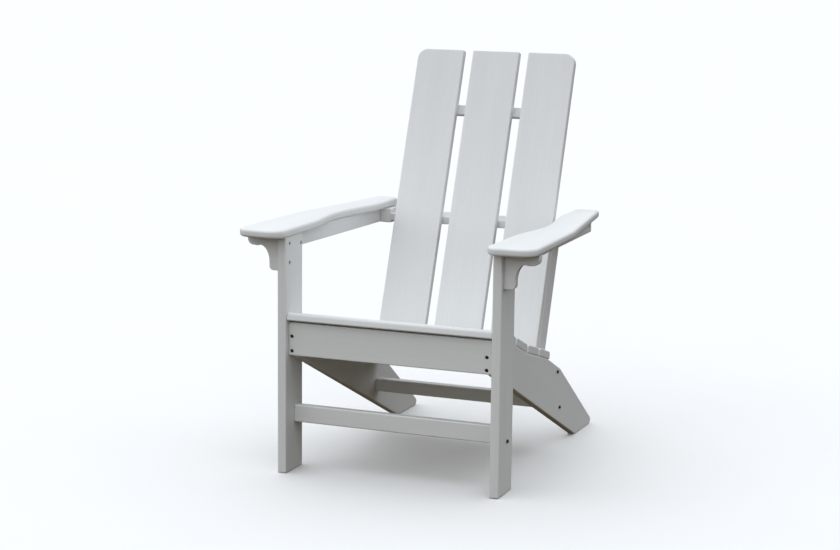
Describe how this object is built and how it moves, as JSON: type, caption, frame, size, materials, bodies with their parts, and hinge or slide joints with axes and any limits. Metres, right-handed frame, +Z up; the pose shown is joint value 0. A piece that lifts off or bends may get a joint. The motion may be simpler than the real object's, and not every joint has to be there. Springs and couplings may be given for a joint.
{
  "type": "adirondack chair",
  "caption": "Low garden armchair of plastic-lumber boards with a raked slatted back, sloping slatted seat, broad curved arms on brackets and long floor stringers.",
  "frame": {"origin": "centre of the chair's footprint, on the floor", "axes": "+X to the right of a person who faces the chair from the front, +Y to the rear, +Z up"},
  "size_m": [0.7334, 0.8209, 0.9659],
  "materials": {
    "lumber": "matte, faint lengthwise grain",
    "screws": "dark oxidised stainless"
  },
  "bodies": {
    "root": {"arm_block_left": "lumber", "arm_block_right": "lumber", "arm_bracket_left": "lumber", "arm_bracket_right": "lumber", "arm_left": "lumber", "arm_right": "lumber", "arm_support_left": "lumber", "arm_support_right": "lumber", "back_post_left": "lumber", "back_post_right": "lumber", "back_rail_lower": "lumber", "back_rail_middle": "lumber", "back_rail_upper": "lumber", "back_slat_centre": "lumber", "back_slat_left": "lumber", "back_slat_right": "lumber", "front_leg_left": "lumber", "front_leg_right": "lumber", "front_stretcher": "lumber", "rear_stretcher": "lumber", "screw_apron_left_lower": "screws", "screw_apron_left_upper": "screws", "screw_apron_right_lower": "screws", "screw_apron_right_upper": "screws", "screw_back_centre_a": "screws", "screw_back_centre_b": "screws", "screw_back_left_a": "screws", "screw_back_left_b": "screws", "screw_back_right_a": "screws", "screw_back_right_b": "screws", "screw_bracket_left_lower": "screws", "screw_bracket_left_upper": "screws", "screw_bracket_right_lower": "screws", "screw_bracket_right_upper": "screws", "screw_leg_left_lower": "screws", "screw_leg_left_upper": "screws", "screw_leg_right_lower": "screws", "screw_leg_right_upper": "screws", "screw_lower_rail_left": "screws", "screw_lower_rail_right": "screws", "screw_rear_stretcher_left": "screws", "screw_rear_stretcher_right": "screws", "screw_stretcher_left": "screws", "screw_stretcher_right": "screws", "screw_support_left_front": "screws", "screw_support_left_rear": "screws", "screw_support_right_front": "screws", "screw_support_right_rear": "screws", "seat_apron": "lumber", "seat_slat_1": "lumber", "seat_slat_2": "lumber", "seat_slat_3": "lumber", "seat_slat_4": "lumber", "seat_slat_5": "lumber", "seat_stringer_left": "lumber", "seat_stringer_right": "lumber"}
  },
  "joints": []
}
